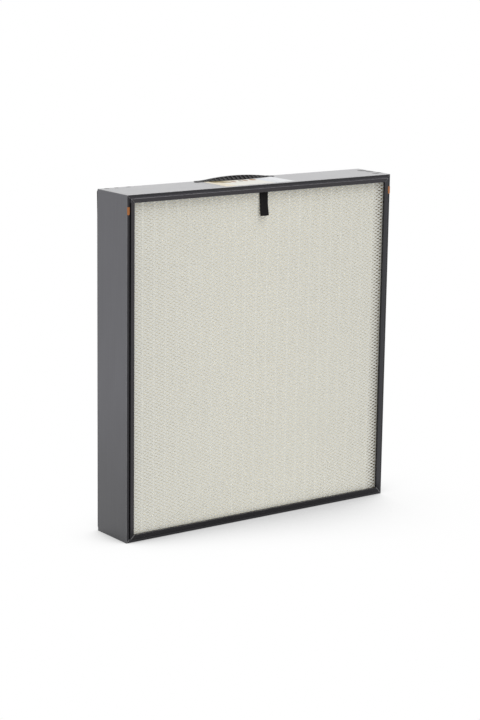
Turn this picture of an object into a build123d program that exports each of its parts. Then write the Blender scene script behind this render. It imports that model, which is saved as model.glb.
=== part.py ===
from build123d import *
import math
import os

# HEPA filter panel: a mitred aluminium frame round a pleated pack, standing on its bottom rail.
# Millimetres. X runs along the width, -Y is the front, +Z is up.
# The origin is at the middle of the box that the whole panel fills, on the surface it stands on.

# Frame
frame_width = 575.0
frame_height = 610.0
frame_depth = 93.5          # from the lip's face to the rear face
mitre_gap = 0.1             # half of the hairline between two mitred lengths

# Section of the frame's extrusion
wall = 1.8                  # outer wall
lip_width = 5.0             # flat outer lip
lip_thickness = 1.8
groove_width = 1.4
groove_depth = 1.2          # below the lip's face
bead_width = 7.6
bead_proud = 3.0            # the bead's face stands this far in front of the lip
bead_tail = 2.0             # the bead's back lies this far behind the lip's face
bead_wall = 1.3
bead_round = 1.2
rear_flange_depth = 10.0
rear_flange_wall = 1.5
edge_round = 0.7            # outer edges of the extrusion

# Corner keys
key_play = 0.15             # clearance to the chamber, on each side
front_key_leg = 26.0
rear_key_leg = 45.0
key_chamfer = 0.45          # on the outer corner at each tip

# Pleated pack
pleat_pitch = 5.0
fold_half_width = 0.35      # half the flat at the tip of a fold
fold_root = 5.0             # from a tip to the apex inside the fold
pack_margin = 10.0          # from the frame's outer faces to the pack's sides

# Hot-melt separators
separator_pitch = 24.0
separator_width = 1.6
separator_depth = 1.0

# Guards
guard_thickness = 1.2
guard_margin = 3.5          # from the frame's outer faces to the guard's edge
guard_row_pitch = 6.33      # one row of meshes
guard_strand = 3.0          # width of the strand left between two rows
guard_rim = 2.0             # plain rim that shows inside the bead
guard_clearance = 1.2       # between the guard and the separators

# Gasket
gasket_width = 10.0
gasket_height = 5.0
gasket_inset = 2.0
gasket_corner = 12.0
gasket_round = 1.5

# Pull strap
strap_width = 17.5
strap_thickness = 1.4
strap_play = 0.1            # on each side, between the bead's back and the guard
strap_hidden = 6.5          # bonded to the back of the bead
strap_free = 42.0           # hangs below the flange
strap_lean = 4.0            # its lower end stands off by this much

# Orange tabs
tab_width = 4.7
tab_length = 13.5
tab_thickness = 0.6
tab_round = 1.8
tab_drop = 20.5             # from the top of the frame
tab_right_lower = 2.0       # the right tab sits this much lower than the left one

# Label
label_thickness = 0.2
label_setback = 7.0         # from the lip's face
label_rear_margin = 15.5    # from the rear face
label_end_margin = 7.0      # what the grip's length leaves beyond the label at each end
label_offset = -3.0         # the label's middle from the panel's middle

# Ribbed grip
grip_length = 164.0
grip_offset = -6.5          # the grip's middle from the panel's middle
grip_rise = 6.8             # height of the arch above its seat
grip_slope_reach = 10.5     # from the crest's edge to the foot of the slope, at the middle
grip_line = 12.0            # from the rear face to the arch's centre line
grip_back = 2.0             # from the rear face to the arch's flat back
grip_foot = 1.4             # thickness of the foot plate
grip_foot_margin = 1.5
grip_crest = 5.0            # width of the smooth crest
grip_rib = 1.5
grip_rib_count = 17
grip_pocket = 2.0           # depth of the pockets between the ribs
grip_end_radius = 5.0
rivet_diameter = 3.0
rivet_head = 5.5
rivet_crown = 3.7           # flat on top of the head
rivet_head_height = 1.0
rivet_grip_play = 0.1

# Places worked out from the sizes above
flange_width = lip_width + groove_width + bead_width
total_depth = bead_proud + frame_depth + gasket_height
lip_y = -total_depth / 2 + bead_proud
rear_y = lip_y + frame_depth
bead_back_y = lip_y + bead_tail
guard_front_y = bead_back_y + strap_thickness + 2 * strap_play
pack_front_y = guard_front_y + guard_thickness + guard_clearance + separator_depth
rear_guard_y = rear_y - rear_flange_depth - guard_thickness
pack_rear_y = rear_guard_y - guard_clearance - separator_depth
pack_width = frame_width - 2 * pack_margin
pack_height = frame_height - 2 * pack_margin
half_width = frame_width / 2
label_width = grip_length - 2 * label_end_margin
label_depth = frame_depth - label_setback - label_rear_margin


def rail_section():
    """Section of the extrusion: x runs inwards from the outer face, y runs back from the lip's face."""
    bead_start = lip_width + groove_width
    groove_floor = groove_depth + lip_thickness
    outline = Polyline(
        (0, 0), (lip_width, 0), (lip_width, groove_depth), (bead_start, groove_depth),
        (bead_start, -bead_proud), (flange_width, -bead_proud), (flange_width, bead_tail),
        (bead_start, bead_tail), (bead_start, groove_floor), (wall, groove_floor),
        (wall, frame_depth - rear_flange_depth), (flange_width, frame_depth - rear_flange_depth),
        (flange_width, frame_depth), (0, frame_depth), close=True)
    section = make_face(outline)
    bead_corners = [v for v in section.vertices() if abs(v.Y + bead_proud) < 0.01]
    section = fillet(bead_corners, bead_round)
    outer_corners = [v for v in section.vertices() if abs(v.X) < 0.01]
    section = fillet(outer_corners, edge_round)
    bead_middle = (bead_start + flange_width) / 2
    section -= Pos(bead_middle, (bead_tail - bead_proud) / 2) * Rectangle(*bead_chamber())
    flange_middle = (wall + flange_width - rear_flange_wall) / 2
    section -= Pos(flange_middle, frame_depth - rear_flange_depth / 2) * Rectangle(*flange_chamber())
    return section


def bead_chamber():
    return bead_width - 2 * bead_wall, bead_proud + bead_tail - 2 * bead_wall


def flange_chamber():
    return flange_width - wall - rear_flange_wall, rear_flange_depth - 2 * rear_flange_wall


def rail(length):
    """One length of the extrusion along X, its outer face down on z = 0, mitred at both ends."""
    plane = Plane(origin=(length / 2, lip_y, 0), x_dir=(0, 0, 1), z_dir=(-1, 0, 0))
    bar = extrude(plane * rail_section(), amount=length)
    slope = mitre_gap * math.sqrt(2)
    reach = length / 2 - slope
    tall = 2 * flange_width
    blank = make_face(Polyline(
        (-reach, 0), (reach, 0), (reach - tall, tall), (-reach + tall, tall), close=True))
    mitres = extrude(Plane.XZ * blank, amount=total_depth, both=True)
    return bar & mitres


def frame_rails():
    long_rail = rail(frame_height)
    wide_rail = rail(frame_width)
    top = Pos(0, 0, frame_height) * wide_rail.mirror(Plane.XY)
    left = Pos(-half_width, 0, frame_height / 2) * Rot(0, 90, 0) * long_rail
    right = left.mirror(Plane.YZ)
    return {"frame_bottom": wide_rail, "frame_top": top, "frame_left": left, "frame_right": right}


def corner_key(chamber, centre_offset, depth_y, leg):
    """L-shaped key for the bottom left corner, with its two legs in the chambers of two lengths."""
    across = chamber[0] - 2 * key_play
    deep = chamber[1] - 2 * key_play
    start = centre_offset - across / 2
    shape = Polyline(
        (start, start), (start + leg, start), (start + leg, start + across),
        (start + across, start + across), (start + across, start + leg), (start, start + leg), close=True)
    key = extrude(Plane.XZ * make_face(shape), amount=deep / 2, both=True)
    tips = key.edges().filter_by(Axis.Y).sort_by(lambda e: e.center().X + e.center().Z)[-3:]
    outer_tips = [e for e in tips if e.center().X + e.center().Z > 2 * start + leg]
    key = chamfer(outer_tips, key_chamfer)
    return Pos(-half_width, depth_y, 0) * key


def corner_keys():
    bead_offset = lip_width + groove_width + bead_width / 2
    bead_y = lip_y + (bead_tail - bead_proud) / 2
    flange_offset = (wall + flange_width - rear_flange_wall) / 2
    flange_y = rear_y - rear_flange_depth / 2
    keys = {}
    for place, chamber, offset, y, leg in (
            ("front", bead_chamber(), bead_offset, bead_y, front_key_leg),
            ("rear", flange_chamber(), flange_offset, flange_y, rear_key_leg)):
        bottom_left = corner_key(chamber, offset, y, leg)
        bottom_right = bottom_left.mirror(Plane.YZ)
        middle = Plane.XY.offset(frame_height / 2)
        keys[f"corner_key_{place}_bottom_left"] = bottom_left
        keys[f"corner_key_{place}_bottom_right"] = bottom_right
        keys[f"corner_key_{place}_top_left"] = bottom_left.mirror(middle)
        keys[f"corner_key_{place}_top_right"] = bottom_right.mirror(middle)
    return keys


def media_pack():
    """One sheet folded into horizontal pleats: its section is drawn in Y and Z and runs along X."""
    count = round(pack_height / pleat_pitch)
    pitch = pack_height / count
    folds = [pack_margin + (i + 0.5) * pitch for i in range(count)]
    going_up = [(pack_rear_y, pack_margin)]
    for fold in folds:
        going_up.append((pack_front_y, fold - fold_half_width))
        going_up.append((pack_front_y, fold + fold_half_width))
        going_up.append((pack_rear_y - fold_root, fold + pitch / 2))
    going_up[-1] = (pack_rear_y, frame_height - pack_margin)
    going_down = [(pack_rear_y, frame_height - pack_margin - fold_half_width)]
    for fold in reversed(folds):
        going_down.append((pack_front_y + fold_root, fold))
        going_down.append((pack_rear_y, fold - pitch / 2 + fold_half_width))
        going_down.append((pack_rear_y, fold - pitch / 2 - fold_half_width))
    sheet = make_face(Polyline(*going_up, *going_down[:-1], close=True))
    plane = Plane(origin=(-pack_width / 2, 0, 0), x_dir=(0, 1, 0), z_dir=(1, 0, 0))
    return extrude(plane * sheet, amount=pack_width)


def separators(y):
    """Hot-melt beads that run up the pack across the tips of its folds."""
    count = int((pack_width - separator_width) / separator_pitch) + 1
    bead = Box(separator_width, separator_depth, pack_height)
    middle = Pos(0, y, frame_height / 2)
    return [middle * place * bead for place in GridLocations(separator_pitch, 1, count, 1)]


def potting():
    """Cast ring between the pack and the frame's wall, from guard to guard."""
    front = guard_front_y + guard_thickness
    outer = Rectangle(frame_width - 2 * wall, frame_height - 2 * wall)
    inner = Rectangle(pack_width, pack_height)
    ring = extrude(Plane.XZ * (outer - inner), amount=-(rear_guard_y - front))
    return Pos(0, front, frame_height / 2) * ring


def guard(front_y):
    """Guard sheet, open in one slot for each row of its meshes."""
    sheet = Rectangle(frame_width - 2 * guard_margin, frame_height - 2 * guard_margin)
    open_width = frame_width - 2 * (flange_width + guard_rim)
    open_height = frame_height - 2 * (flange_width + guard_rim)
    rows = int((open_height + guard_strand) / guard_row_pitch)
    slots = GridLocations(1, guard_row_pitch, 1, rows) * Rectangle(open_width, guard_row_pitch - guard_strand)
    plate = extrude(Plane.XZ * (sheet - slots), amount=-guard_thickness)
    return Pos(0, front_y, frame_height / 2) * plate


def gasket():
    """Endless ring on the rear flange, with rounded corners and a softened sealing face."""
    outer_width = frame_width - 2 * gasket_inset
    outer_height = frame_height - 2 * gasket_inset
    ring = RectangleRounded(outer_width, outer_height, gasket_corner)
    inner_corner = gasket_corner - gasket_width / 2
    ring -= RectangleRounded(outer_width - 2 * gasket_width, outer_height - 2 * gasket_width, inner_corner)
    body = extrude(Plane.XZ * ring, amount=-gasket_height)
    face = body.faces().sort_by(Axis.Y)[-1]
    body = chamfer(face.edges(), gasket_round)
    return Pos(0, rear_y, frame_height / 2) * body


def pull_strap():
    """Webbing strap: straight behind the flange, then leaning gently forward below it."""
    flange_edge = frame_height - flange_width
    middle_y = bead_back_y + strap_thickness / 2
    top = (middle_y, flange_edge + strap_hidden)
    bend = (middle_y, flange_edge)
    end = (middle_y - strap_lean, flange_edge - strap_free)
    path = Line(top, bend) + TangentArc(bend, end, tangent=(0, -1))
    band = trace_band(path, strap_thickness)
    plane = Plane(origin=(-strap_width / 2, 0, 0), x_dir=(0, 1, 0), z_dir=(1, 0, 0))
    return extrude(plane * band, amount=strap_width)


def trace_band(path, thickness):
    """Flat face of even thickness along a path of one line and one tangent arc."""
    return make_face(offset(path, thickness / 2, side=Side.BOTH, kind=Kind.ARC, closed=True).edges())


def tab():
    """Small tab on the left lip, with a rounded lower end."""
    shape = Rectangle(tab_width, tab_length)
    shape = fillet(shape.vertices().sort_by(Axis.Y)[:2], tab_round)
    body = extrude(Plane.XZ * shape, amount=tab_thickness)
    middle_z = frame_height - tab_drop - tab_length / 2
    return Pos(-half_width + lip_width / 2, lip_y, middle_z) * body


def label():
    body = Box(label_width, label_depth, label_thickness, align=(Align.CENTER, Align.MIN, Align.MIN))
    return Pos(label_offset, lip_y + label_setback, frame_height) * body


def arch_face():
    """Side view of the arch, standing on z = 0: its crest is an arc that runs out at both ends."""
    half = grip_length / 2
    crest = ThreePointArc((-half, 0), (0, grip_rise), (half, 0))
    return Plane.XZ * make_face(crest + Line((half, 0), (-half, 0)))


def arch_slope(side):
    """The arch's profile swept down at a slant from its crest's edge: side -1 is the front, 1 the back."""
    start = Pos(0, side * grip_crest / 2, 0) * arch_face()
    length = math.hypot(grip_slope_reach, grip_rise)
    swept = extrude(start, amount=length, dir=(0, side * grip_slope_reach, -grip_rise))
    return swept & above_foot()


def above_foot():
    """Large block that keeps what is above z = 0 and in front of the grip's flat back."""
    back = grip_line - grip_back
    block = Box(2 * grip_length, grip_length, grip_length, align=(Align.CENTER, Align.MAX, Align.MIN))
    return Pos(0, back, 0) * block


def grip():
    """Arched grip: a smooth crest, ribs down its front and a thin foot with a rounded lug at each end."""
    seat_z = frame_height + label_thickness
    half = grip_length / 2
    front = arch_slope(-1)
    crest = extrude(arch_face(), amount=grip_crest / 2, both=True)
    pitch = grip_length / (grip_rib_count + 1)
    bay = Box(pitch - grip_rib, grip_length, grip_length, align=(Align.CENTER, Align.MAX, Align.CENTER))
    floor = Pos(0, 0, -grip_pocket) * front
    places = GridLocations(pitch, 1, grip_rib_count - 1, 1)
    bays = [Pos(0, -grip_crest / 2, 0) * place * bay for place in places]
    ribbed = front - [(bay_box & front) - floor for bay_box in bays]
    body = ribbed + crest + arch_slope(1) + grip_foot_plate(half)
    hole = Cylinder(rivet_diameter / 2 + rivet_grip_play, grip_length)
    body -= [Pos(x, 0, 0) * hole for x in (-half, half)]
    return Pos(grip_offset, rear_y - grip_line, seat_z) * body


def grip_foot_plate(half):
    """Foot plate: the outline that the arch leaves on it with a margin, and a round lug at each end."""
    swell = grip_crest / 2 + grip_slope_reach + grip_foot_margin
    back = grip_line - grip_back
    lens = make_face(ThreePointArc((-half, 0), (0, -swell), (half, 0)) + Polyline(
        (half, 0), (half, back), (-half, back), (-half, 0)))
    lugs = [Pos(x, 0) * Circle(grip_end_radius) for x in (-half, half)]
    return extrude(lens + lugs, amount=grip_foot)


def grip_rivets():
    """Two rivets with domed heads, one through each lug of the grip, down into the frame's wall."""
    seat_z = frame_height + label_thickness + grip_foot
    shank_length = label_thickness + grip_foot
    shank = Cylinder(rivet_diameter / 2, shank_length, align=(Align.CENTER, Align.CENTER, Align.MAX))
    stand = (Align.CENTER, Align.CENTER, Align.MIN)
    head = Cone(rivet_head / 2, rivet_crown / 2, rivet_head_height, align=stand)
    rivet = shank + head
    ends = (grip_offset - grip_length / 2, grip_offset + grip_length / 2)
    return [Pos(x, rear_y - grip_line, seat_z) * rivet for x in ends]


def main():
    parts = frame_rails()
    parts.update(corner_keys())
    parts["media_pack"] = media_pack()
    parts["separators_front"] = separators(pack_front_y - separator_depth / 2)
    parts["separators_rear"] = separators(pack_rear_y + separator_depth / 2)
    parts["potting"] = potting()
    parts["front_guard"] = guard(guard_front_y)
    parts["rear_guard"] = guard(rear_guard_y)
    parts["gasket"] = gasket()
    parts["pull_strap"] = pull_strap()
    parts["tab_left"] = tab()
    parts["tab_right"] = Pos(0, 0, -tab_right_lower) * parts["tab_left"].mirror(Plane.YZ)
    parts["label"] = label()
    parts["grip"] = grip()
    parts["grip_rivets"] = grip_rivets()
    os.makedirs("parts", exist_ok=True)
    for name, shape in parts.items():
        if isinstance(shape, list):
            shape = Compound(children=shape)
        export_step(shape, f"parts/{name}.step")


main()
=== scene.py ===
import math
import bmesh
import bpy
from mathutils import Matrix, Vector


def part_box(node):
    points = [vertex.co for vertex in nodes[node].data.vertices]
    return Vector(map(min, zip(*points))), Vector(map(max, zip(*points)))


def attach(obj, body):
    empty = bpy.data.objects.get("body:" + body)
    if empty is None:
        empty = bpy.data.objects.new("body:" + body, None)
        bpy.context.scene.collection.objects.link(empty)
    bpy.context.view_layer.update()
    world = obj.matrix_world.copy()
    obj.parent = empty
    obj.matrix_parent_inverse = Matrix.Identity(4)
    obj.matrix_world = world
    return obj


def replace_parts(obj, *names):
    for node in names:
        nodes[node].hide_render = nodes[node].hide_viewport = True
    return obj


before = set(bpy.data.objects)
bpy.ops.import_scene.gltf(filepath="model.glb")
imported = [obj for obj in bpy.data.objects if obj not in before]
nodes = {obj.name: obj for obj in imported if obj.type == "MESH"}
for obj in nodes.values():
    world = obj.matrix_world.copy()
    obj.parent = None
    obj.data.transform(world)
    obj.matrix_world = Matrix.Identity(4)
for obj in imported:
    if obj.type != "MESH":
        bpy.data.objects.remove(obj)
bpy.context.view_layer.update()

mm = 0.001
print("frame loaded:", len(nodes), "nodes")

# where things are: the panel stands on z = 0 and its front faces -Y
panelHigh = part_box("frame_top")[1]
panelWidth = 2 * panelHigh.x
panelHeight = panelHigh.z
frameDepth = 93.5 * mm
rearFace = panelHigh.y
lipFace = rearFace - frameDepth
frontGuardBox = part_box("front_guard")
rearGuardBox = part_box("rear_guard")
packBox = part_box("media_pack")


# ---- mesh helpers

def vertsOf(geom):
    return [item for item in geom if isinstance(item, bmesh.types.BMVert)]


def edgesOf(geom):
    return [item for item in geom if isinstance(item, bmesh.types.BMEdge)]


def addPiece(name, bm, material, smoothAngle=None):
    mesh = bpy.data.meshes.new(name)
    bm.to_mesh(mesh)
    bm.free()
    piece = bpy.data.objects.new(name, mesh)
    bpy.context.scene.collection.objects.link(piece)
    mesh.materials.append(material)
    if smoothAngle is not None:
        mesh.polygons.foreach_set("use_smooth", [True] * len(mesh.polygons))
        mesh.set_sharp_from_angle(angle=math.radians(smoothAngle))
    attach(piece, "root")
    return piece


def addArray(piece, count, step):
    array = piece.modifiers.new("repeat", "ARRAY")
    array.count = count
    array.use_relative_offset = False
    array.use_constant_offset = True
    array.constant_offset_displace = step
    array.use_merge_vertices = True
    array.merge_threshold = 0.02 * mm
    return array


def addThickness(piece, thickness, offset=0.0):
    solid = piece.modifiers.new("thickness", "SOLIDIFY")
    solid.thickness = thickness
    solid.offset = offset
    solid.use_even_offset = True
    return solid


def paint(nodeNames, material):
    for nodeName in nodeNames:
        mesh = nodes[nodeName].data
        mesh.materials.clear()
        mesh.materials.append(material)


# ---- material helpers

class Graph:
    def __init__(self, tree):
        self.tree = tree

    def node(self, kind, settings=None, **inputs):
        made = self.tree.nodes.new(kind)
        for key, value in (settings or {}).items():
            setattr(made, key, value)
        for key, value in inputs.items():
            socket = made.inputs[int(key[1:])] if key[0] == "i" and key[1:].isdigit() else made.inputs[key]
            self.plug(value, socket)
        return made

    def plug(self, value, socket):
        if isinstance(value, bpy.types.NodeSocket):
            self.tree.links.new(value, socket)
        else:
            socket.default_value = value

    def math(self, operation, a, b=0.0, clamp=False):
        made = self.node("ShaderNodeMath", {"operation": operation, "use_clamp": clamp}, i0=a, i1=b)
        return made.outputs[0]

    def ramp(self, value, low, high, toLow=0.0, toHigh=1.0):
        made = self.node("ShaderNodeMapRange", {"interpolation_type": "SMOOTHSTEP"},
                         i0=value, i1=low, i2=high, i3=toLow, i4=toHigh)
        return made.outputs[0]

    def mix(self, factor, a, b, blend="MIX"):
        made = self.node("ShaderNodeMix", {"data_type": "RGBA", "blend_type": blend},
                         i0=factor, i6=a, i7=b)
        return made.outputs[2]

    def noise(self, vector, scale, detail=3.0, roughness=0.55):
        made = self.node("ShaderNodeTexNoise", None, Vector=vector, Scale=scale, Detail=detail,
                         Roughness=roughness)
        return made.outputs["Fac"]

    def split(self, vector):
        return self.node("ShaderNodeSeparateXYZ", None, Vector=vector).outputs

    def vector(self, operation, *values):
        return self.node("ShaderNodeVectorMath", {"operation": operation},
                         **{"i%d" % i: value for i, value in enumerate(values)}).outputs

    def stretched(self, vector, scale):
        made = self.node("ShaderNodeMapping", None, Vector=vector, Scale=scale)
        return made.outputs[0]

    def group(self, tree, **inputs):
        made = self.tree.nodes.new("ShaderNodeGroup")
        made.node_tree = tree
        for key, value in inputs.items():
            self.plug(value, made.inputs[key])
        return made.outputs


def colour(hexCode):
    parts = [int(hexCode[i:i + 2], 16) / 255 for i in (0, 2, 4)]
    return [p / 12.92 if p <= 0.04045 else ((p + 0.055) / 1.055) ** 2.4 for p in parts] + [1.0]


def startGroup(name, inputs, outputs):
    tree = bpy.data.node_groups.new(name, "ShaderNodeTree")
    for title, kind, value in inputs:
        socket = tree.interface.new_socket(title, in_out="INPUT", socket_type="NodeSocket" + kind)
        socket.default_value = value
    for title, kind in outputs:
        tree.interface.new_socket(title, in_out="OUTPUT", socket_type="NodeSocket" + kind)
    graph = Graph(tree)
    return graph, graph.node("NodeGroupInput").outputs, graph.node("NodeGroupOutput").inputs


def startMaterial(name, metallic=0.0, roughness=0.5):
    material = bpy.data.materials.new(name)
    material.use_nodes = True
    graph = Graph(material.node_tree)
    shader = material.node_tree.nodes["Principled BSDF"]
    shader.inputs["Metallic"].default_value = metallic
    shader.inputs["Roughness"].default_value = roughness
    coords = graph.node("ShaderNodeTexCoord").outputs
    return material, graph, shader.inputs, coords


def addBump(graph, height, distance, strength, sockets):
    bump = graph.node("ShaderNodeBump", None, Height=height, Distance=distance, Strength=strength)
    graph.plug(bump.outputs[0], sockets["Normal"])


def addRoughness(graph, value, spread, lowest, sockets):
    graph.plug(graph.math("ADD", graph.math("MULTIPLY", value, spread), lowest), sockets["Roughness"])


def seenDirectly(graph):
    # 1 for rays from the camera and those mirrored or let through, 0 for the light that bounces
    ray = graph.node("ShaderNodeLightPath").outputs
    seen = graph.math("MAXIMUM", ray["Is Camera Ray"], ray["Is Glossy Ray"])
    return graph.math("MAXIMUM", seen, ray["Is Transmission Ray"])


# ---- shared effects

def makeGrain():
    # a slow mottle and a fine grain, both about 0.5
    graph, given, put = startGroup(
        "surfaceGrain",
        [("Vector", "Vector", (0, 0, 0)), ("Mottle Scale", "Float", 12.0), ("Grain Scale", "Float", 900.0)],
        [("Mottle", "Float"), ("Grain", "Float")])
    graph.plug(graph.noise(given["Vector"], given["Mottle Scale"], 4.0, 0.6), put["Mottle"])
    graph.plug(graph.noise(given["Vector"], given["Grain Scale"], 2.0, 0.5), put["Grain"])
    return graph.tree


def makeDust():
    # pale dust that lies on faces turned upwards
    graph, given, put = startGroup(
        "settledDust",
        [("Vector", "Vector", (0, 0, 0)), ("Normal", "Vector", (0, 0, 1)), ("Amount", "Float", 0.3)],
        [("Mask", "Float")])
    up = graph.split(given["Normal"])["Z"]
    facing = graph.ramp(up, 0.25, 0.95)
    patches = graph.ramp(graph.noise(given["Vector"], 60.0, 5.0, 0.65), 0.35, 0.75)
    mask = graph.math("MULTIPLY", graph.math("MULTIPLY", facing, patches), given["Amount"])
    graph.plug(mask, put["Mask"])
    return graph.tree


def makeMark():
    # one soft-edged elongated mark: 1 inside, 0 outside
    graph, given, put = startGroup(
        "smallMark",
        [("Vector", "Vector", (0, 0, 0)), ("Centre", "Vector", (0, 0, 0)), ("Half Size", "Vector", (1, 1, 1)),
         ("Ragged", "Float", 0.4)],
        [("Mask", "Float")])
    away = graph.vector("SUBTRACT", given["Vector"], given["Centre"])[0]
    scaled = graph.vector("DIVIDE", away, given["Half Size"])[0]
    reach = graph.vector("LENGTH", scaled)["Value"]
    wobble = graph.math("SUBTRACT", graph.noise(given["Vector"], 700.0), 0.5)
    wobble = graph.math("MULTIPLY", wobble, given["Ragged"])
    graph.plug(graph.ramp(graph.math("ADD", reach, wobble), 1.1, 0.75), put["Mask"])
    return graph.tree


def makeWear():
    # bare edges: strong near the outer corners of the panel's box, broken up by noise
    graph, given, put = startGroup(
        "edgeWear",
        [("Vector", "Vector", (0, 0, 0)), ("Half Size", "Vector", (1, 1, 1)), ("Centre", "Vector", (0, 0, 0)),
         ("Width", "Float", 0.001)],
        [("Mask", "Float")])
    away = graph.vector("SUBTRACT", given["Vector"], given["Centre"])[0]
    folded = graph.vector("ABSOLUTE", away)[0]
    gaps = graph.split(graph.vector("SUBTRACT", given["Half Size"], folded)[0])
    lowPair = graph.math("MINIMUM", graph.math("MAXIMUM", gaps["X"], gaps["Y"]),
                         graph.math("MAXIMUM", gaps["Y"], gaps["Z"]))
    nearest = graph.math("MINIMUM", lowPair, graph.math("MAXIMUM", gaps["X"], gaps["Z"]))
    near = graph.math("DIVIDE", nearest, given["Width"])
    broken = graph.math("ADD", near, graph.math("MULTIPLY", graph.noise(given["Vector"], 45.0, 4.0), 1.6))
    graph.plug(graph.ramp(broken, 1.9, 0.6), put["Mask"])
    return graph.tree


grainGroup, dustGroup, markGroup, wearGroup = makeGrain(), makeDust(), makeMark(), makeWear()
print("effect groups made")


def grainOf(graph, vector, mottleScale, grainScale):
    return graph.group(grainGroup, Vector=vector, **{"Mottle Scale": mottleScale, "Grain Scale": grainScale})


def dustOn(graph, coords, amount):
    return graph.group(dustGroup, Vector=coords["Object"], Normal=coords["Normal"], Amount=amount)["Mask"]


def markAt(graph, coords, centre, halfSize):
    return graph.group(markGroup, Vector=coords["Object"], Centre=centre, **{"Half Size": halfSize})["Mask"]


# ---- camera
cameraSettings = {
    "place": (-2.1152, -2.8813, 1.0674),
    "lens": 101.06,
    "yaw": 36.105,       # degrees to the right of the panel's normal
    "pitch": 12.354,     # downwards
    "roll": 0.806,
}


def makeCamera(s):
    camera = bpy.data.objects.new("camera", bpy.data.cameras.new("camera"))
    camera.data.lens = s["lens"]
    camera.data.sensor_width = 36
    camera.data.clip_end = 100
    turn = Matrix.Rotation(math.radians(-s["yaw"]), 4, "Z")
    turn = turn @ Matrix.Rotation(math.radians(90 - s["pitch"]), 4, "X")
    turn = turn @ Matrix.Rotation(math.radians(s["roll"]), 4, "Z")
    camera.matrix_world = Matrix.Translation(s["place"]) @ turn
    bpy.context.scene.collection.objects.link(camera)
    bpy.context.scene.camera = camera


makeCamera(cameraSettings)


# ---- studio: a pale floor, an even world and one high soft light
studio = {
    "worldLight": 0.55,
    "sunLight": 2.0,
    "sunTurn": (18, 12, 0),      # degrees away from straight down
    "sunSoftness": 40,
    "floorSize": 60.0,
    "shadowReach": (0.14, 0.46),  # at the left and the right end of the panel
    "shadowEnds": (-0.35, 0.35),
    "shadowDepth": 0.42,
    "shadowFade": 3.0,
    "floorColour": (0.8, 0.8, 0.8, 1),
}


def makeStudio(s):
    scene = bpy.context.scene
    scene.view_settings.view_transform = "Standard"
    world = bpy.data.worlds.new("studio")
    scene.world = world
    world.use_nodes = True
    graph = Graph(world.node_tree)
    background = world.node_tree.nodes["Background"]
    graph.plug((1, 1, 1, 1), background.inputs["Color"])
    graph.plug(graph.ramp(seenDirectly(graph), 0.0, 1.0, s["worldLight"], 1.0), background.inputs["Strength"])
    sun = bpy.data.objects.new("sun", bpy.data.lights.new("sun", "SUN"))
    sun.data.energy = s["sunLight"]
    sun.data.angle = math.radians(s["sunSoftness"])
    sun.rotation_euler = [math.radians(a) for a in s["sunTurn"]]
    scene.collection.objects.link(sun)

    bm = bmesh.new()
    bmesh.ops.create_grid(bm, x_segments=2, y_segments=2, size=s["floorSize"] / 2)
    mesh = bpy.data.meshes.new("floor")
    bm.to_mesh(mesh)
    bm.free()
    floor = bpy.data.objects.new("floor", mesh)
    scene.collection.objects.link(floor)
    material, graph, shader, coords = startMaterial("floorPaper", roughness=0.9)
    shader["Base Color"].default_value = s["floorColour"]
    shader["Specular IOR Level"].default_value = 0.0
    across = graph.split(coords["Object"])["X"]
    reach = graph.ramp(across, *s["shadowEnds"], *s["shadowReach"])
    near = graph.node("ShaderNodeAmbientOcclusion", {"samples": 16}, Distance=reach).outputs["AO"]
    covered = graph.math("MULTIPLY", graph.math("SUBTRACT", 1.0, near, clamp=True), 2.0, clamp=True)
    depth = graph.math("MULTIPLY", graph.math("POWER", covered, s["shadowFade"]), s["shadowDepth"])
    shade = graph.math("SUBTRACT", 1.0, depth)
    glow = graph.node("ShaderNodeEmission", None, Color=graph.mix(1.0, (1, 1, 1, 1), shade, "MULTIPLY"))
    plain = material.node_tree.nodes["Principled BSDF"].outputs[0]
    both = graph.node("ShaderNodeMixShader", None, i0=seenDirectly(graph), i1=plain, i2=glow.outputs[0])
    graph.plug(both.outputs[0], material.node_tree.nodes["Material Output"].inputs["Surface"])
    mesh.materials.append(material)


makeStudio(studio)
print("camera and studio made")


# ---- frame: satin aluminium, with painted shade and reflection that darken its front faces and painted light that makes its top pale
frameLook = {
    # the outer walls, darker towards the bottom; the top face is painted pale, painted light as if lit from
    # above
    "side": colour("69696d"),
    "sideLow": colour("5c5c5e"),
    "top": colour("acacae"),
    # painted shade and reflection make the front faces dark, a different dark on the right rail and darker
    # still on the bottom rail
    "lip": colour("363538"),
    "bead": colour("3f3d40"),
    "rightBead": colour("3d3d40"),
    "lowBeadShade": colour("252427"),
    # painted shade in the groove and in the recess behind the lip; the top rail's groove is painted lighter,
    # a painted highlight
    "groove": colour("2c2b2e"),
    "topGrooveHighlight": colour("5c5b60"),
    "recess": colour("2c2b2d"),
    "bareMetal": colour("8f8f90"),
    "metallic": 0.75,
    "roughness": 0.40,
    "mitreLine": 0.35 * mm,
    # where one colour gives way to the next, measured in from the outer faces
    "skin": (0.5 * mm, 0.25 * mm),
    "lipEdge": (5.0 * mm, 4.7 * mm),
    "grooveEdge": (6.5 * mm, 7.2 * mm),
    "recessEdge": (12.0 * mm, 13.5 * mm),
    "rightEdge": (0.268, 0.276),
    "lowEdge": (0.030, 0.012),
    "overheadEdge": (14 * mm, 12 * mm),
    "rearBand": (12 * mm, 9 * mm),
    "markTint": colour("3a393c"),
    "dustTint": colour("d9d6d0"),
}


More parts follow.
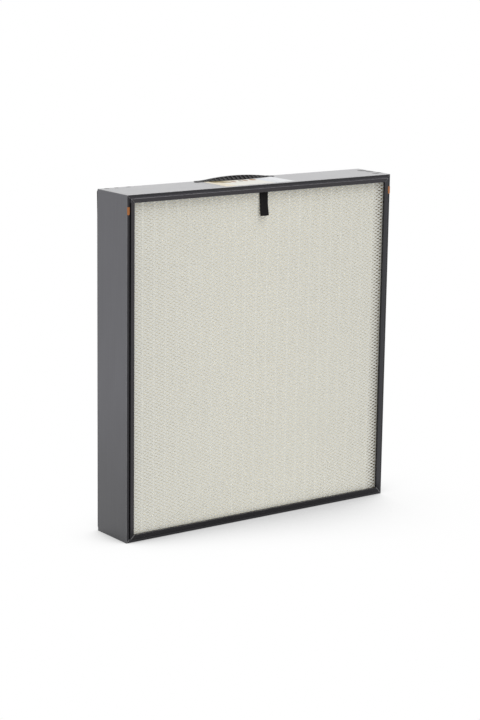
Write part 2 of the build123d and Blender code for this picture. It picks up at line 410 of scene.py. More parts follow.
def makeFrameMetal(name, look, grainScale):
    material, graph, shader, coords = startMaterial(name, look["metallic"], look["roughness"])
    place = graph.split(coords["Object"])
    brushed = graph.stretched(coords["Object"], grainScale)
    grain = grainOf(graph, brushed, 1.0, 4.0)
    broad = graph.noise(coords["Object"], 7.0, 3.0)

    # how far in a point lies from the outer faces picks lip, groove, bead or recess
    fromSide = graph.math("SUBTRACT", panelWidth / 2, graph.math("ABSOLUTE", place["X"]))
    fromEnd = graph.math("MINIMUM", place["Z"], graph.math("SUBTRACT", panelHeight, place["Z"]))
    inset = graph.math("MINIMUM", fromSide, fromEnd)
    outside = graph.ramp(inset, *look["skin"])
    # painted shade: the front of the right rail and that of the bottom rail are painted a different dark
    rightwards = graph.ramp(place["X"], *look["rightEdge"])
    beadColour = graph.mix(rightwards, look["bead"], look["rightBead"])
    beadColour = graph.mix(graph.ramp(place["Z"], *look["lowEdge"]), beadColour, look["lowBeadShade"])
    # painted highlight: the groove of the top rail is painted lighter than the other grooves
    farthest, nearest = look["overheadEdge"]
    overhead = graph.ramp(place["Z"], panelHeight - farthest, panelHeight - nearest)
    groove = graph.mix(overhead, look["groove"], look["topGrooveHighlight"])
    inner = graph.mix(graph.ramp(inset, *look["grooveEdge"]), groove, beadColour)
    inner = graph.mix(graph.ramp(inset, *look["lipEdge"]), inner, look["lip"])
    # painted shade in the recess behind the lip
    recess = graph.ramp(place["Y"], lipFace + 0.2 * mm, lipFace + 1.6 * mm)
    recess = graph.math("MULTIPLY", recess, graph.ramp(inset, *look["recessEdge"]))
    inner = graph.mix(recess, inner, look["recess"])
    # painted light: the top face is painted pale as if lit from above; the walls darken towards the bottom
    onTop = graph.ramp(place["Z"], panelHeight - 0.7 * mm, panelHeight - 0.3 * mm)
    onTop = graph.math("MULTIPLY", outside, onTop)
    wallColour = graph.mix(graph.ramp(place["Z"], 0.30, 0.0), look["side"], look["sideLow"])
    wallColour = graph.mix(onTop, wallColour, look["top"])
    farthest, nearest = look["rearBand"]
    behind = graph.ramp(place["Y"], rearFace - farthest, rearFace - nearest)
    outer = graph.math("MAXIMUM", outside, behind)
    base = graph.mix(outer, inner, wallColour)
    ahead = graph.math("SUBTRACT", 1.0, outer)

    # hairline of bare metal along the mitres, on the front
    offMitre = graph.math("ABSOLUTE", graph.math("SUBTRACT", fromSide, fromEnd))
    lower = graph.ramp(place["Z"], 0.5, 0.1, 0.45, 1.0)
    mitre = graph.ramp(offMitre, look["mitreLine"] * 2.2, look["mitreLine"] * 1.1)
    mitre = graph.math("MULTIPLY", mitre, ahead)
    base = graph.mix(graph.math("MULTIPLY", mitre, lower), base, look["bareMetal"])

    # worn corners, drawn grain and a slow change of tone
    worn = graph.group(wearGroup, Vector=coords["Object"], Width=1.2 * mm,
                       Centre=(0, (lipFace + rearFace) / 2, panelHeight / 2),
                       **{"Half Size": (panelWidth / 2, (rearFace - lipFace) / 2, panelHeight / 2)})["Mask"]
    base = graph.mix(graph.math("MULTIPLY", worn, 0.35), base, look["bareMetal"])
    broad = graph.math("ADD", graph.math("MULTIPLY", broad, 0.14), 0.82)
    tone = graph.math("ADD", graph.math("MULTIPLY", grain["Mottle"], 0.22), broad)
    base = graph.mix(1.0, base, tone, "MULTIPLY")
    dust = dustOn(graph, coords, 0.10)
    base = graph.mix(dust, base, look["dustTint"])
    for centre, halfSize in look["scuffs"]:
        mark = markAt(graph, coords, centre, halfSize)
        base = graph.mix(graph.math("MULTIPLY", mark, 0.92), base, look["markTint"])
    graph.plug(base, shader["Base Color"])
    rough = graph.math("ADD", graph.math("MULTIPLY", grain["Grain"], 0.16), look["roughness"] - 0.08)
    graph.plug(graph.math("ADD", rough, graph.math("MULTIPLY", dust, 0.3)), shader["Roughness"])
    addBump(graph, grain["Grain"], 0.02 * mm, 0.5, shader)
    return material


# small dark scuffs on the top, near its right end and along its rear edge
topScuffs = [
    ((0.2740, 0.0180, 0.610), (0.0090, 0.0100, 0.004)),
    ((0.2765, -0.0010, 0.610), (0.0075, 0.0090, 0.004)),
    ((0.2705, -0.0256, 0.610), (0.0068, 0.0080, 0.004)),
    ((0.2833, -0.0225, 0.610), (0.0044, 0.0090, 0.004)),
    ((-0.2720, 0.0405, 0.610), (0.0050, 0.0050, 0.004)),
    ((-0.2520, 0.0405, 0.610), (0.0046, 0.0050, 0.004)),
    ((-0.2280, 0.0410, 0.610), (0.0052, 0.0044, 0.004)),
]
frameLook["scuffs"] = topScuffs
acrossMetal = makeFrameMetal("frameMetalAcross", frameLook, (9.0, 420.0, 420.0))
frameLook["scuffs"] = []
uprightMetal = makeFrameMetal("frameMetalUpright", frameLook, (420.0, 420.0, 9.0))
paint(["frame_top", "frame_bottom"], acrossMetal)
paint(["frame_left", "frame_right"], uprightMetal)
print("frame finished")


# ---- corner keys inside the extrusion
def makeKeyMetal():
    material, graph, shader, coords = startMaterial("keyMetal", 0.9, 0.5)
    grain = grainOf(graph, coords["Object"], 90.0, 1500.0)
    graph.plug(graph.mix(grain["Mottle"], colour("6d6d70"), colour("9a9a9c")), shader["Base Color"])
    addRoughness(graph, grain["Grain"], 0.3, 0.35, shader)
    addBump(graph, grain["Grain"], 0.05 * mm, 0.6, shader)
    return material


paint([name for name in nodes if name.startswith("corner_key")], makeKeyMetal())


# ---- expanded metal guards
openings = {
    "longWay": 11.8 * mm,
    "shortWay": 6.33 * mm,
    "halfOpenLong": 4.6 * mm,       # half of one opening
    "halfOpenShort": 1.5 * mm,
    "sheet": 0.45 * mm,
    "tilt": 0.18 * mm,              # each strand leans out of the sheet
    "columns": 47,
    "rows": 93,
}


def makeGuardPaint(name, tint):
    material, graph, shader, coords = startMaterial(name, 0.0, 0.45)
    grain = grainOf(graph, coords["Object"], 9.0, 1400.0)
    base = graph.mix(grain["Mottle"], colour(tint[0]), colour(tint[1]))
    dust = dustOn(graph, coords, 0.5)
    base = graph.mix(dust, base, colour("b9b2a2"))
    graph.plug(base, shader["Base Color"])
    addRoughness(graph, grain["Grain"], 0.25, 0.35, shader)
    addBump(graph, grain["Grain"], 0.04 * mm, 0.5, shader)
    return material


def makeExpandedMetal(name, s, box, outward, material):
    # one opening, its four strands and two bonds, then repeated along X and Z
    bm = bmesh.new()
    a, b = s["halfOpenLong"], s["halfOpenShort"]
    strand = Vector((s["longWay"] / 2 - a, 0, s["shortWay"] / 2 - b))
    opening = bmesh.ops.create_circle(bm, cap_ends=False, segments=4, radius=1.0)["verts"]
    bmesh.ops.rotate(bm, verts=opening, cent=(0, 0, 0), matrix=Matrix.Rotation(math.radians(90), 3, "X"))
    bmesh.ops.scale(bm, verts=opening, vec=(a, 1, b))
    for edge in list(bm.edges):
        middle = (edge.verts[0].co + edge.verts[1].co) / 2
        step = Vector((math.copysign(strand.x, middle.x), 0, math.copysign(strand.z, middle.z)))
        grown = bmesh.ops.extrude_edge_only(bm, edges=[edge])["geom"]
        bmesh.ops.translate(bm, verts=vertsOf(grown), vec=step)
        if middle.x > 0 and middle.z > 0:
            for side in [e for v in vertsOf(grown) for e in v.link_edges if e not in edgesOf(grown)]:
                onTop = (side.verts[0].co + side.verts[1].co).x / 2 < s["longWay"] / 4
                across = Vector((-step.x, 0, step.z)) if onTop else Vector((step.x, 0, -step.z))
                bond = bmesh.ops.extrude_edge_only(bm, edges=[side])["geom"]
                bmesh.ops.translate(bm, verts=vertsOf(bond), vec=across)
    bmesh.ops.remove_doubles(bm, verts=bm.verts, dist=0.01 * mm)
    for v in bm.verts:
        wave = math.sin(2 * math.pi * v.co.z / s["shortWay"]) * math.cos(2 * math.pi * v.co.x / s["longWay"])
        v.co.y += outward * s["tilt"] * wave
    bmesh.ops.recalc_face_normals(bm, faces=bm.faces)
    middleY = (box[0].y + box[1].y) / 2
    corner = Vector((-(s["columns"] - 1) * s["longWay"] / 2, middleY,
                     panelHeight / 2 - (s["rows"] - 1) * s["shortWay"] / 2))
    bmesh.ops.translate(bm, verts=bm.verts, vec=corner)
    piece = addPiece(name, bm, material)
    addArray(piece, s["columns"], (s["longWay"], 0, 0))
    addArray(piece, s["rows"], (0, 0, s["shortWay"]))
    addThickness(piece, s["sheet"])
    return piece


guardPaint = makeGuardPaint("guardPaint", ("d3d3cc", "dbdbd4"))
frontMesh = makeExpandedMetal("frontMesh", openings, frontGuardBox, -1, guardPaint)
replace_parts(frontMesh, "front_guard")
rearMesh = makeExpandedMetal("rearMesh", openings, rearGuardBox, 1, guardPaint)
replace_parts(rearMesh, "rear_guard")
print("guards finished")


# ---- folded pack
pleat = {
    "pitch": 5.0 * mm,
    "count": 118,
    "paper": 0.4 * mm,
    "tipRadius": 2.24 * mm,
    "forward": 1.5 * mm,       # the tips stand this much nearer to the guards than the solid pack
    "paintedRailShade": (0.252, 0.274),  # from here to here along X the painted shade by the right rail grows
    # painted shade under the top flange dims the paper's glow between these heights
    "underFlange": (0.560, 0.602),
    # painted light: how strongly the paper glows
    "glow": 0.20,
    "tipSteps": 6,
}


def makePaper(s):
    material, graph, shader, coords = startMaterial("mediaPaper", 0.0, 0.85)
    grain = grainOf(graph, coords["Object"], 14.0, 1100.0)
    base = graph.mix(grain["Mottle"], colour("f1ecdc"), colour("f6f3e8"))
    fibres = graph.noise(graph.stretched(coords["Object"], (400.0, 1400.0, 1400.0)), 1.0, 3.0)
    base = graph.mix(graph.math("MULTIPLY", fibres, 0.25), base, colour("e2dbc6"))

    # painted shade: the folds darken to brown towards the right rail, where its shade falls
    place = graph.split(coords["Object"])
    ragged = graph.math("SUBTRACT", graph.noise(coords["Object"], 60.0), 0.5)
    ragged = graph.math("MULTIPLY", ragged, 0.008)
    paintedRailShade = graph.ramp(graph.math("ADD", place["X"], ragged), *s["paintedRailShade"])
    base = graph.mix(paintedRailShade, base, colour("9a8452"))
    graph.plug(base, shader["Base Color"])

    # painted light: the paper glows, standing for light that comes through the thin paper from the far side;
    # painted shade dims the glow under the top flange and by the right rail
    dimmed = graph.math("MAXIMUM", paintedRailShade, graph.ramp(place["Z"], *s["underFlange"], 0.0, 0.5))
    graph.plug(graph.mix(dimmed, colour("edebe2"), colour("5c4c28")), shader["Emission Color"])
    shader["Emission Strength"].default_value = s["glow"]
    addBump(graph, graph.math("ADD", grain["Grain"], fibres), 0.06 * mm, 0.6, shader)
    return material


def makePack(s, box):
    bm = bmesh.new()
    r = s["tipRadius"]
    frontY = box[0].y - s["forward"] + s["paper"] / 2 + r
    rearY = box[1].y + s["forward"] - s["paper"] / 2 - r
    x, z = box[0].x, box[0].z
    last = bm.verts.new((x, frontY, z + s["pitch"] / 2 - r))
    for centreY, centreZ, turn in ((frontY, z + s["pitch"] / 2, -1), (rearY, z + s["pitch"], 1)):
        if last.co.y != centreY:
            last = vertsOf(bmesh.ops.extrude_vert_indiv(bm, verts=[last])["verts"])[0]
            last.co = Vector((x, centreY, centreZ - r))
        arc = bmesh.ops.spin(bm, geom=[last], cent=(x, centreY, centreZ), axis=(1, 0, 0), dvec=(0, 0, 0),
                             angle=turn * math.pi, steps=s["tipSteps"], use_duplicate=False)
        last = vertsOf(arc["geom_last"])[0]
    last = vertsOf(bmesh.ops.extrude_vert_indiv(bm, verts=[last])["verts"])[0]
    last.co = Vector((x, frontY, z + 1.5 * s["pitch"] - r))
    wide = bmesh.ops.extrude_edge_only(bm, edges=bm.edges)["geom"]
    bmesh.ops.translate(bm, verts=vertsOf(wide), vec=(box[1].x - box[0].x, 0, 0))
    bmesh.ops.recalc_face_normals(bm, faces=bm.faces)
    piece = addPiece("foldedPack", bm, makePaper(s), 60)
    addArray(piece, s["count"], (0, 0, s["pitch"]))
    addThickness(piece, s["paper"])
    return piece


foldedPack = makePack(pleat, packBox)
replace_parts(foldedPack, "media_pack")
print("pack finished")


# ---- hot-melt beads across the folds
bead = {
    "spacing": 24.0 * mm,
    # painted light: how strongly the beads glow
    "glow": 0.24,
    "halfWidth": 1.5 * mm,
    "halfDepth": 0.6 * mm,
    "waist": 0.8,            # narrower between two folds
    "forward": 0.95 * mm,    # towards the guard that it holds off the folds
    "sides": 8,
}


def makeHotMelt(s):
    material, graph, shader, coords = startMaterial("hotMelt", 0.0, 0.35)
    grain = grainOf(graph, coords["Object"], 60.0, 700.0)
    graph.plug(graph.mix(grain["Mottle"], colour("e4e1d4"), colour("f0eee6")), shader["Base Color"])
    shader["Subsurface Weight"].default_value = 0.15
    shader["Subsurface Radius"].default_value = (0.002, 0.0018, 0.0014)
    # painted light: the beads glow a little, as the paper does
    shader["Emission Color"].default_value = colour("edebe2")
    shader["Emission Strength"].default_value = s["glow"]
    addRoughness(graph, grain["Grain"], 0.3, 0.2, shader)
    addBump(graph, grain["Mottle"], 0.2 * mm, 0.4, shader)
    return material


def makeBeads(name, s, box, material):
    bm = bmesh.new()
    count = round((box[1].x - box[0].x) / s["spacing"]) + 1
    ring = bmesh.ops.create_circle(bm, cap_ends=False, segments=s["sides"], radius=1.0)["verts"]
    bmesh.ops.scale(bm, verts=ring, vec=(s["halfWidth"], s["halfDepth"], 1))
    outward = math.copysign(1, (box[0].y + box[1].y) / 2 - (packBox[0].y + packBox[1].y) / 2)
    centreY = (box[0].y + box[1].y) / 2 + outward * s["forward"]
    bmesh.ops.translate(bm, verts=ring, vec=(0, centreY, box[0].z))
    rim = list(bm.edges)
    for factor in (s["waist"], 1 / s["waist"]) * pleat["count"]:
        grown = bmesh.ops.extrude_edge_only(bm, edges=rim)["geom"]
        rim = edgesOf(grown)
        bmesh.ops.translate(bm, verts=vertsOf(grown), vec=(0, 0, pleat["pitch"] / 2))
        bmesh.ops.scale(bm, verts=vertsOf(grown), vec=(factor, factor, 1),
                        space=Matrix.Translation((0, -centreY, 0)))
    bmesh.ops.holes_fill(bm, edges=[e for e in bm.edges if e.is_boundary], sides=0)
    bmesh.ops.recalc_face_normals(bm, faces=bm.faces)
    bmesh.ops.translate(bm, verts=bm.verts, vec=(-(count - 1) * s["spacing"] / 2, 0, 0))
    piece = addPiece(name, bm, material, 80)
    addArray(piece, count, (s["spacing"], 0, 0))
    return piece


hotMelt = makeHotMelt(bead)
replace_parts(makeBeads("frontBeads", bead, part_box("separators_front"), hotMelt), "separators_front")
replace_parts(makeBeads("rearBeads", bead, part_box("separators_rear"), hotMelt), "separators_rear")
print("hot-melt beads finished")


# ---- cast ring round the pack
def makeCastRing():
    material, graph, shader, coords = startMaterial("castRing", 0.0, 0.4)
    grain = grainOf(graph, coords["Object"], 30.0, 260.0)
    graph.plug(graph.mix(grain["Mottle"], colour("cfcab8"), colour("ddd9ca")), shader["Base Color"])
    bubbles = graph.ramp(grain["Grain"], 0.62, 0.75)
    addRoughness(graph, bubbles, 0.3, 0.35, shader)
    addBump(graph, graph.math("SUBTRACT", grain["Mottle"], bubbles), 0.4 * mm, 0.4, shader)
    return material


paint(["potting"], makeCastRing())


# ---- gasket
gasket = {
    "width": 10.0 * mm,
    "corner": 5.0 * mm,
    "round": 1.3 * mm,
    "creep": 0.9 * mm,       # the top left corner has crept outwards by this much
    "creepReach": 45.0 * mm,
    "lift": 1.3 * mm,        # and the top side stands up near that corner
    "liftFrom": 40.0 * mm,
    "liftReach": 60.0 * mm,
}


def makeRubber():
    material, graph, shader, coords = startMaterial("gasketRubber", 0.0, 0.7)
    grain = grainOf(graph, coords["Object"], 25.0, 1600.0)
    base = graph.mix(grain["Mottle"], colour("0e0d0f"), colour("181719"))
    dust = dustOn(graph, coords, 0.08)
    graph.plug(graph.mix(dust, base, colour("7d7a75")), shader["Base Color"])
    addRoughness(graph, grain["Grain"], 0.3, 0.55, shader)
    addBump(graph, grain["Grain"], 0.12 * mm, 0.6, shader)
    return material


def makeGasket(s, box):
    bm = bmesh.new()
    low, high = box
    bmesh.ops.create_grid(bm, x_segments=1, y_segments=1, size=0.5)
    bmesh.ops.rotate(bm, verts=bm.verts, cent=(0, 0, 0), matrix=Matrix.Rotation(math.radians(90), 3, "X"))
    bmesh.ops.scale(bm, verts=bm.verts, vec=(high.x - low.x, 1, high.z - low.z))
    bmesh.ops.translate(bm, verts=bm.verts, vec=(0, low.y, (low.z + high.z) / 2))
    bmesh.ops.bevel(bm, geom=list(bm.verts), affect="VERTICES", offset=s["corner"], segments=6, profile=0.5,
                    material=-1)
    bmesh.ops.inset_region(bm, faces=list(bm.faces), thickness=s["width"], use_boundary=True,
                           use_even_offset=True)
    inner = [f for f in bm.faces if len(f.verts) > 4]
    bmesh.ops.delete(bm, geom=inner, context="FACES_ONLY")

    # the inner corners are square: whatever the rounding threw past them goes back
    width = s["width"]
    for v in bm.verts:
        if min(v.co.x - low.x, high.x - v.co.x, v.co.z - low.z, high.z - v.co.z) > 0.3 * width:
            v.co.x = max(low.x + width, min(high.x - width, v.co.x))
            v.co.z = max(low.z + width, min(high.z - width, v.co.z))
    bmesh.ops.remove_doubles(bm, verts=bm.verts, dist=0.02 * mm)
    grown = bmesh.ops.extrude_face_region(bm, geom=list(bm.faces))["geom"]
    bmesh.ops.translate(bm, verts=vertsOf(grown), vec=(0, high.y - low.y, 0))
    bmesh.ops.recalc_face_normals(bm, faces=bm.faces)
    outer = [e for e in bm.edges if all(abs(v.co.y - high.y) < 0.01 * mm for v in e.verts)
             and e.calc_face_angle(0) > 1.0]
    bmesh.ops.bevel(bm, geom=outer, affect="EDGES", offset=s["round"], segments=4, profile=0.5, material=-1)
    bmesh.ops.subdivide_edges(bm, edges=[e for e in bm.edges if e.calc_length() > 0.3], cuts=14)
    for v in bm.verts:
        fall = max(0.0, 1 - (v.co - Vector((low.x, v.co.y, high.z))).length / s["creepReach"])
        v.co.x -= s["creep"] * fall ** 2
        if v.co.z > high.z - s["width"] - 1 * mm:
            v.co.z += s["lift"] * max(0.0, 1 - abs(v.co.x - low.x - s["liftFrom"]) / s["liftReach"])
    return addPiece("gasketRing", bm, makeRubber(), 40)


gasketRing = makeGasket(gasket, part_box("gasket"))
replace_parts(gasketRing, "gasket")
print("gasket finished")


# ---- pull strap of woven webbing, bonded behind the top flange
strap = {
    "width": 17.5 * mm,
    "length": 49.2 * mm,
    "thickness": 1.2 * mm,
    "hidden": 7.0 * mm,
    "lean": 4.0 * mm,
    "cup": 0.5 * mm,
    "threads": (14.0, 34.0, 1.0),   # across the width and along the length
}


def makeWebbing(s):
    material, graph, shader, coords = startMaterial("webbing", 0.0, 0.75)
    weave = graph.stretched(coords["UV"], s["threads"])
    parts = graph.split(weave)
    warp = graph.math("ABSOLUTE", graph.math("SINE", graph.math("MULTIPLY", parts["X"], math.pi)))
    shift = graph.math("MULTIPLY", graph.math("FLOOR", parts["X"]), 0.5)
    weft = graph.math("ABSOLUTE", graph.math("SINE", graph.math(
        "MULTIPLY", graph.math("ADD", parts["Y"], shift), math.pi)))
    thread = graph.math("MULTIPLY", warp, weft)
    fuzz = graph.noise(coords["Object"], 1800.0, 2.0)
    base = graph.mix(thread, colour("030203"), colour("0b090c"))
    across = graph.split(coords["UV"])["X"]
    selvage = graph.ramp(graph.math("ABSOLUTE", graph.math("SUBTRACT", across, 0.5)), 0.42, 0.48)
    base = graph.mix(selvage, base, colour("070607"))
    base = graph.mix(graph.math("MULTIPLY", fuzz, 0.2), base, colour("161419"))
    graph.plug(base, shader["Base Color"])
    shader["Specular IOR Level"].default_value = 0.15
    shader["Sheen Weight"].default_value = 0.04
    shader["Sheen Roughness"].default_value = 0.5
    addRoughness(graph, fuzz, 0.2, 0.62, shader)
    addBump(graph, graph.math("ADD", thread, graph.math("MULTIPLY", fuzz, 0.3)), 0.25 * mm, 0.7, shader)
    return material


def makeStrap(s, box):
    bm = bmesh.new()
    bmesh.ops.create_grid(bm, x_segments=8, y_segments=28, size=0.5)
    uvLayer = bm.loops.layers.uv.new("weave")
    for face in bm.faces:
        for loop in face.loops:
            loop[uvLayer].uv = (loop.vert.co.x + 0.5, loop.vert.co.y + 0.5)
    middleX = (box[0].x + box[1].x) / 2
    backY = box[1].y - 0.1 * mm - s["thickness"] / 2
    for v in bm.verts:
        down = (0.5 - v.co.y) * s["length"]
        free = max(0.0, down - s["hidden"]) / (s["length"] - s["hidden"])
        hollow = s["cup"] * (1 - (2 * v.co.x) ** 2) * min(1.0, 2 * free)
        side = v.co.x * s["width"] * (1 + 0.02 * math.sin(9 * free))
        v.co = Vector((middleX + side, backY - s["lean"] * free ** 2 + hollow * 0.4, box[1].z - down))
    bmesh.ops.recalc_face_normals(bm, faces=bm.faces)
    piece = addPiece("strapWebbing", bm, makeWebbing(s), 60)
    addThickness(piece, s["thickness"])
    return piece


strapWebbing = makeStrap(strap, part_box("pull_strap"))
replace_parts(strapWebbing, "pull_strap")
print("strap finished")


# ---- orange tabs on the lips
def makeTabPlastic():
    material, graph, shader, coords = startMaterial("tabPlastic", 0.0, 0.5)
    grain = grainOf(graph, coords["Object"], 220.0, 2600.0)
    base = graph.mix(grain["Mottle"], colour("9c5c28"), colour("b06c32"))
    dust = dustOn(graph, coords, 0.4)
    graph.plug(graph.mix(dust, base, colour("c9a262")), shader["Base Color"])
    addRoughness(graph, grain["Grain"], 0.3, 0.4, shader)
    addBump(graph, grain["Grain"], 0.04 * mm, 0.4, shader)
    return material


paint(["tab_left", "tab_right"], makeTabPlastic())


# ---- label on the top: plain fields of colour
labelFields = {
    "paper": colour("dad9d3"),
    "cream": colour("d8cfbc"),
    "blue": colour("d0d4d9"),
    "rightPart": colour("d8dadd"),
    "brownField": colour("d9d0b8"),
    "creamEdge": (-0.0555, -0.0565),
    "blueEdge": (0.0275, 0.0285),
    "rightEdge": (0.0435, 0.0445),
    "brownAcross": (0.010, -0.030),
    "brownBehind": (0.0080, 0.0115),
    # small soft marks in front of the grip: centre, half size, tint
    "spots": [
        ((-0.0610, 0.0200, 0.610), (0.0100, 0.0120, 0.01), colour("6a5812")),
        ((-0.0500, 0.0120, 0.610), (0.0090, 0.0120, 0.01), colour("6e5a14")),
        ((-0.0410, 0.0070, 0.610), (0.0060, 0.0090, 0.01), colour("846c20")),
        ((-0.0290, 0.0060, 0.610), (0.0044, 0.0085, 0.01), colour("7c420e")),
        ((-0.0010, 0.0100, 0.610), (0.0040, 0.0085, 0.01), colour("80500c")),
        ((0.0165, 0.0115, 0.610), (0.0065, 0.0080, 0.01), colour("8c5a1e")),
        ((-0.0115, 0.0090, 0.610), (0.0034, 0.0075, 0.01), colour("1c1410")),
    ],
}


def makeLabelPaper(f):
    material, graph, shader, coords = startMaterial("labelPaper", 0.0, 0.55)
    place = graph.split(coords["Object"])
    grain = grainOf(graph, coords["Object"], 30.0, 2200.0)
    base = graph.mix(graph.ramp(place["X"], *f["creamEdge"]), f["paper"], f["cream"])
    base = graph.mix(graph.ramp(place["X"], *f["blueEdge"]), base, f["blue"])
    base = graph.mix(graph.ramp(place["X"], *f["rightEdge"]), base, f["rightPart"])
    ragged = graph.math("SUBTRACT", graph.noise(coords["Object"], 160.0, 3.0), 0.5)
    edge = graph.math("ADD", place["Y"], graph.math("MULTIPLY", ragged, 0.014))
    along = graph.ramp(place["X"], *f["brownAcross"])
    along = graph.math("MULTIPLY", along, graph.ramp(edge, *f["brownBehind"]))
    base = graph.mix(graph.math("MULTIPLY", along, 0.55), base, f["brownField"])
    for centre, halfSize, tint in f["spots"]:
        mark = markAt(graph, coords, centre, halfSize)
        base = graph.mix(mark, base, tint)
    dust = dustOn(graph, coords, 0.12)
    base = graph.mix(dust, base, colour("b8b0a0"))
    base = graph.mix(graph.math("MULTIPLY", grain["Mottle"], 0.08), base, colour("c8c2b6"))
    graph.plug(base, shader["Base Color"])
    addRoughness(graph, grain["Grain"], 0.2, 0.45, shader)
    addBump(graph, grain["Grain"], 0.02 * mm, 0.3, shader)
    return material


paint(["label"], makeLabelPaper(labelFields))
print("label and tabs finished")


# ---- moulded grip and its rivets
def makeGripPlastic():
    material, graph, shader, coords = startMaterial("gripPlastic", 0.0, 0.42)
    grain = grainOf(graph, coords["Object"], 40.0, 1500.0)
    base = graph.mix(grain["Mottle"], colour("161517"), colour("212022"))
    # painted shade: the base darkens to near black where the pockets between the ribs lie in shelter
    pocketShade = graph.node("ShaderNodeAmbientOcclusion", None, Distance=6.0 * mm).outputs["AO"]
    base = graph.mix(graph.ramp(pocketShade, 0.85, 0.45), base, colour("020202"))
    dust = dustOn(graph, coords, 0.10)
    graph.plug(graph.mix(dust, base, colour("8b8884")), shader["Base Color"])
    addRoughness(graph, grain["Grain"], 0.25, 0.32, shader)
    shader["Specular IOR Level"].default_value = 0.3
    addBump(graph, grain["Grain"], 0.05 * mm, 0.5, shader)
    return material


grip = {
    "ribs": 17,
    "rib": 1.7 * mm,
    "crest": 5.0 * mm,
    "slopeReach": 10.5 * mm,   # from the crest to the foot of the slope, at the middle
    "backFromRear": 2.0 * mm,
    "lineFromRear": 12.0 * mm,
    "foot": 0.7 * mm,
    "margin": 0.4 * mm,
    "lugRadius": 5.0 * mm,
    "pocket": 3.2 * mm,
    "pocketRim": 0.5 * mm,
    "pocketShare": 0.55,       # at most this much of the height below it
    "pocketTaper": 0.86,
    "backShare": 0.45,         # height of the back edge against the crest
    "edge": 0.35 * mm,
}


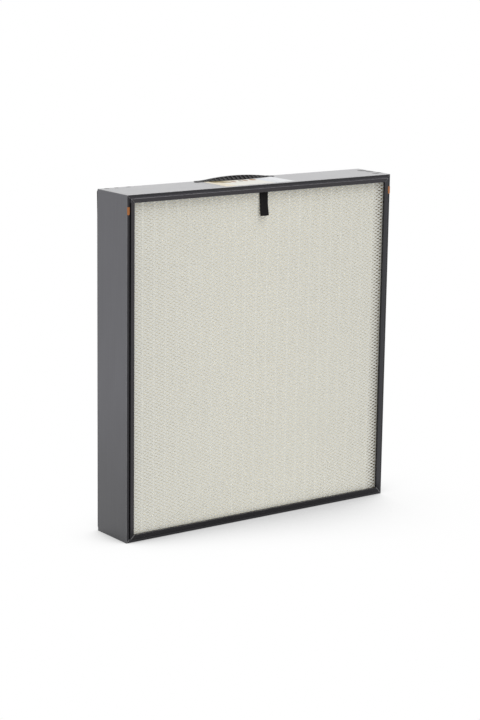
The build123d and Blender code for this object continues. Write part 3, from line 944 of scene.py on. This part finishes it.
def makeGrip(s, box, material):
    # an arch laid out flat as a grid: rows run from its back to its front, columns from rib to rib
    low, high = box
    middle = (low.x + high.x) / 2
    half = (high.x - low.x) / 2 - s["lugRadius"]
    rise = high.z - low.z
    lineY = rearFace - s["lineFromRear"]
    pitch = 2 * half / (s["ribs"] + 1)
    bm = bmesh.new()
    columns = 2 * s["ribs"] + 1
    bmesh.ops.create_grid(bm, x_segments=columns, y_segments=3, size=0.5)
    radius = (half ** 2 + rise ** 2) / (2 * rise)
    for v in bm.verts:
        column = round((v.co.x + 0.5) * columns)
        row = round((0.5 - v.co.y) * 3)
        x = -half + (column + 1) // 2 * pitch + (s["rib"] / 2 if column % 2 == 0 else -s["rib"] / 2)
        x = max(-half, min(half, x)) if 0 < column < columns else math.copysign(half, v.co.x)
        crown = math.sqrt(radius ** 2 - x ** 2) - (radius - rise)
        reach = s["slopeReach"] * crown / rise
        back = s["lineFromRear"] - s["backFromRear"]
        y = (back, s["crest"] / 2, -s["crest"] / 2, -s["crest"] / 2 - reach)[row]
        z = (max(s["foot"], crown * s["backShare"]), crown, crown, 0.0)[row]
        v.co = Vector((middle + x, lineY + y, low.z + max(z, 0.3 * mm)))
    bmesh.ops.recalc_face_normals(bm, faces=bm.faces)
    if sum(f.normal.z for f in bm.faces) < 0:
        bmesh.ops.reverse_faces(bm, faces=bm.faces)

    # pockets between the ribs, in the front slope
    slope = [f for f in bm.faces if f.calc_center_median().y < lineY - s["crest"] / 2]
    slope.sort(key=lambda f: f.calc_center_median().x)
    bays = [f for i, f in enumerate(slope) if i % 2 == 0 and 0 < i < columns - 1]
    bmesh.ops.inset_individual(bm, faces=bays, thickness=s["pocketRim"], depth=0, use_even_offset=True)
    grown = bmesh.ops.extrude_discrete_faces(bm, faces=bays)["faces"]
    for f in grown:
        depth = min(s["pocket"], s["pocketShare"] * (f.calc_center_median().z - low.z))
        bmesh.ops.translate(bm, verts=f.verts, vec=-f.normal * depth)
        bmesh.ops.scale(bm, verts=f.verts, vec=[s["pocketTaper"]] * 3,
                        space=Matrix.Translation(-f.calc_center_median()))

    # skirt down to the seat, and a bottom
    rim = [e for e in bm.edges if e.is_boundary]
    grown = bmesh.ops.extrude_edge_only(bm, edges=rim)["geom"]
    for v in vertsOf(grown):
        v.co.z = low.z
    bmesh.ops.holes_fill(bm, edges=[e for e in bm.edges if e.is_boundary], sides=0)
    bmesh.ops.remove_doubles(bm, verts=bm.verts, dist=0.02 * mm)
    bmesh.ops.dissolve_degenerate(bm, dist=0.02 * mm, edges=bm.edges)
    bmesh.ops.recalc_face_normals(bm, faces=bm.faces)

    # foot plate: a disc stretched to the arch's outline, with a round lug at each end
    plate = bmesh.ops.create_circle(bm, cap_ends=True, segments=64, radius=1.0)["verts"]
    swell = s["crest"] / 2 + s["slopeReach"] + s["margin"]
    sweep = (half ** 2 + swell ** 2) / (2 * swell)
    for v in plate:
        x = v.co.x * half
        front = math.sqrt(sweep ** 2 - x ** 2) - (sweep - swell)
        y = -front if v.co.y < 0 else min(s["lineFromRear"] - s["backFromRear"], 8 * (half - abs(x)) + 2 * mm)
        v.co = Vector((middle + x, lineY + y, low.z))
    lugs = []
    for x in (-half, half):
        ring = bmesh.ops.create_circle(bm, cap_ends=True, segments=24, radius=s["lugRadius"])["verts"]
        bmesh.ops.translate(bm, verts=ring, vec=(middle + x, lineY, low.z))
        lugs += ring
    flat = [f for f in bm.faces if all(v in set(plate) | set(lugs) for v in f.verts) and len(f.verts) > 20]
    for f in flat:
        if f.normal.z < 0:
            f.normal_flip()
    grown = bmesh.ops.extrude_face_region(bm, geom=flat, use_keep_orig=True)["geom"]
    bmesh.ops.translate(bm, verts=vertsOf(grown), vec=(0, 0, s["foot"]))
    bmesh.ops.recalc_face_normals(bm, faces=bm.faces)
    piece = addPiece("ribbedGrip", bm, material, 35)
    soften = piece.modifiers.new("soft edges", "BEVEL")
    soften.width = s["edge"]
    soften.segments = 2
    soften.limit_method = "ANGLE"
    soften.angle_limit = math.radians(40)
    return piece


ribbedGrip = makeGrip(grip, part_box("grip"), makeGripPlastic())
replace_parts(ribbedGrip, "grip")


def makeRivetMetal():
    material, graph, shader, coords = startMaterial("rivetMetal", 0.9, 0.35)
    grain = grainOf(graph, coords["Object"], 300.0, 3000.0)
    graph.plug(graph.mix(grain["Mottle"], colour("2a2a2c"), colour("48484a")), shader["Base Color"])
    addRoughness(graph, grain["Grain"], 0.3, 0.25, shader)
    addBump(graph, grain["Grain"], 0.03 * mm, 0.4, shader)
    return material


rivet = {"radius": 2.75 * mm, "height": 0.8 * mm, "sides": 20}


def makeRivets(s, box, material):
    bm = bmesh.new()
    low, high = box
    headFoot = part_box("grip")[0].z + grip["foot"]
    for x in (low.x + s["radius"], high.x - s["radius"]):
        ball = bmesh.ops.create_uvsphere(bm, u_segments=s["sides"], v_segments=10, radius=1.0)["verts"]
        bmesh.ops.scale(bm, verts=ball, vec=(s["radius"], s["radius"], s["height"]))
        bmesh.ops.translate(bm, verts=ball, vec=(x, (low.y + high.y) / 2, headFoot - 0.05 * mm))
    cut = bmesh.ops.bisect_plane(bm, geom=list(bm.verts) + list(bm.edges) + list(bm.faces), dist=0,
                                 plane_co=(0, 0, headFoot - 0.04 * mm), plane_no=(0, 0, 1), clear_inner=True)
    bmesh.ops.holes_fill(bm, edges=edgesOf(cut["geom_cut"]), sides=0)
    bmesh.ops.recalc_face_normals(bm, faces=bm.faces)
    return addPiece("rivetHeads", bm, material, 50)


rivetHeads = makeRivets(rivet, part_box("grip_rivets"), makeRivetMetal())
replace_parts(rivetHeads, "grip_rivets")
print("grip finished")
